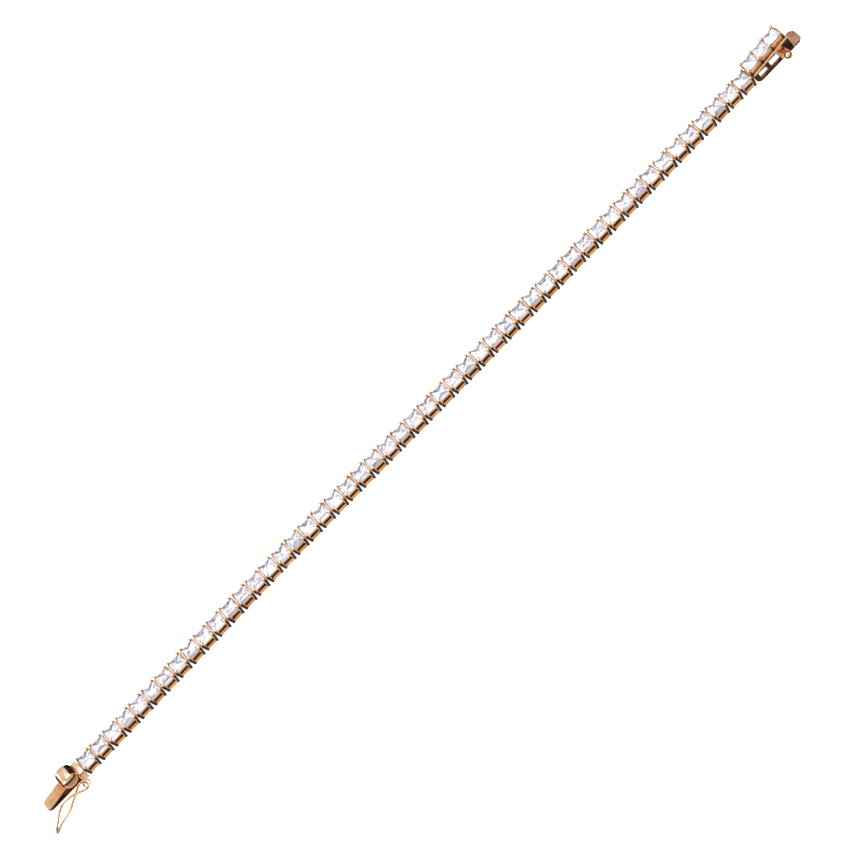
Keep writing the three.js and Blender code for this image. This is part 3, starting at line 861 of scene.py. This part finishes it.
def pale_paper():
    """Near-white paper with a faint fibre pattern; a glow of its own keeps it even."""
    paper = bpy.data.materials.new("pale_paper")
    paper.use_nodes = True
    tree = paper.node_tree
    shader = tree.nodes["Principled BSDF"]
    shader.inputs["Roughness"].default_value = 0.9
    shader.inputs["Specular IOR Level"].default_value = 0.1
    shader.inputs["Emission Color"].default_value = grey(1)
    shader.inputs["Emission Strength"].default_value = PAPER_GLOW
    fibre = node(tree, "ShaderNodeTexNoise", Scale=900.0, Detail=3.0)
    tone = node(tree, "ShaderNodeValToRGB")
    for element, share in zip(tone.color_ramp.elements, PAPER_TONES):
        element.color = grey(share)
    place = node(tree, "ShaderNodeTexCoord")
    tree.links.new(place.outputs["Object"], fibre.inputs["Vector"])
    tree.links.new(fibre.outputs["Fac"], tone.inputs["Fac"])
    tree.links.new(tone.outputs["Color"], shader.inputs["Base Color"])
    return paper


def pale_surface():
    """The surface that the bracelet lies on, which the gold doesn't mirror."""
    bm = bmesh.new()
    bmesh.ops.create_grid(bm, x_segments=1, y_segments=1, size=SURFACE_HALF)
    mesh = bpy.data.meshes.new("pale_surface")
    bm.to_mesh(mesh)
    bm.free()
    mesh.materials.append(pale_paper())
    surface = bpy.data.objects.new("pale_surface", mesh)
    bpy.context.scene.collection.objects.link(surface)
    surface.visible_glossy = False


def bright_room():
    """A bright room with a dim band near the horizon, which the gold mirrors."""
    world = bpy.data.worlds.new("bright_room")
    bpy.context.scene.world = world
    world.use_nodes = True
    tree = world.node_tree
    background = tree.nodes["Background"]
    background.inputs["Strength"].default_value = ROOM_STRENGTH
    place = node(tree, "ShaderNodeTexCoord")
    split = node(tree, "ShaderNodeSeparateXYZ")
    height = node(tree, "ShaderNodeValToRGB")
    ramp = height.color_ramp
    for element, end, share in zip(ramp.elements, (0.0, 1.0), ROOM_ENDS):
        element.position = end
        element.color = grey(share)
    for place_up, share in ROOM_BANDS:
        band = ramp.elements.new(place_up)
        band.color = grey(share)
    raised = node(tree, "ShaderNodeMath", operation="MULTIPLY_ADD")
    raised.inputs[1].default_value = 0.5
    raised.inputs[2].default_value = 0.5
    tree.links.new(place.outputs["Generated"], split.inputs["Vector"])
    tree.links.new(split.outputs["Z"], raised.inputs[0])
    tree.links.new(raised.outputs["Value"], height.inputs["Fac"])
    tree.links.new(height.outputs["Color"], background.inputs["Color"])


def soft_lights():
    """Three soft round lights that point at the frame's origin."""
    for name, place, width, power in LIGHTS:
        light = bpy.data.lights.new(name, "AREA")
        light.shape = "DISK"
        light.size = width
        light.energy = power
        lamp = bpy.data.objects.new(name, light)
        lamp.location = place
        lamp.rotation_euler = (-Vector(place)).to_track_quat("-Z", "Y").to_euler()
        bpy.context.scene.collection.objects.link(lamp)


CAMERA_ELEVATION = math.radians(47)
CHAIN_ROLL = math.radians(46)
PICTURE_WIDTH = 850
PIXELS_PER_MM = 5.8
FRAME_WIDTH = PICTURE_WIDTH / PIXELS_PER_MM * MM
SENSOR_WIDTH = 36
CAMERA_DISTANCE = 0.8
CAMERA_AIM = (25.7 * PITCH, -0.9, 0.05)


def camera():
    """Looks down on the chain from its near side, rolled so that it runs up to the right."""
    back = Vector((0, -math.cos(CAMERA_ELEVATION), math.sin(CAMERA_ELEVATION)))
    level_up = Vector((0, math.sin(CAMERA_ELEVATION), math.cos(CAMERA_ELEVATION)))
    level_right = Vector((1, 0, 0))
    right = math.cos(CHAIN_ROLL) * level_right - math.sin(CHAIN_ROLL) * level_up
    up = math.sin(CHAIN_ROLL) * level_right + math.cos(CHAIN_ROLL) * level_up
    turn = Matrix((right, up, back)).transposed()
    lens = bpy.data.cameras.new("photo_camera")
    lens.sensor_width = SENSOR_WIDTH
    lens.lens = SENSOR_WIDTH * CAMERA_DISTANCE / FRAME_WIDTH
    lens.clip_start = 0.05
    lens.clip_end = 20
    made = bpy.data.objects.new("photo_camera", lens)
    aim = PLACE @ Vector(CAMERA_AIM)
    made.matrix_world = Matrix.Translation(aim + CAMERA_DISTANCE * back) @ turn.to_4x4()
    bpy.context.scene.collection.objects.link(made)
    bpy.context.scene.camera = made


# In the order of the finish numbers, from POLISHED to the lip's painted shade
golds = [
    gold_finish("polished_gold", (0.76, 0.45, 0.27), (0.95, 0.70, 0.49)),
    # Deeper gold: the rails' and the tongue's own tone, and painted shade and reflection bands on the
    # box and the press
    gold_finish("deep_gold", (0.62, 0.29, 0.12), (0.87, 0.50, 0.24), (0.14, 0.3)),
    # Near-black copy of the gold: painted shade on the posts, walls, seat sides, box side walls, claws,
    # tongue edges and press
    gold_finish("shaded_gold", (0.02, 0.012, 0.008), (0.10, 0.05, 0.028), (0.2, 0.4)),
    # Paler, rougher satin copy of the gold, for the tongue's tip end and the safety wire
    gold_finish("satin_gold", (0.60, 0.33, 0.16), (0.80, 0.51, 0.29), (0.24, 0.4), 700.0, 0.3),
    # Dark brown copy of the gold: painted shade between the tongue's leaves
    gold_finish("painted_leaf_shade_gold", (0.36, 0.19, 0.11), (0.60, 0.34, 0.20), (0.2, 0.34), 600.0, 0.25),
    # Darkest warm copy of the gold: painted shade on the box's lip
    gold_finish("painted_lip_shade_gold", (0.17, 0.085, 0.05), (0.34, 0.18, 0.11), (0.2, 0.34), 600.0, 0.25),
]
clear_stone = stone_finish("clear_stone")

chain(golds, clear_stone)
box_case(golds)
box_trim(golds)
box_stones(clear_stone)
ball_peg(golds)
end_block(golds)
tongue(golds)
thumb_press(golds)
safety_catch(golds)

pale_surface()
bright_room()
soft_lights()
camera()
bpy.context.scene.view_settings.view_transform = "Standard"
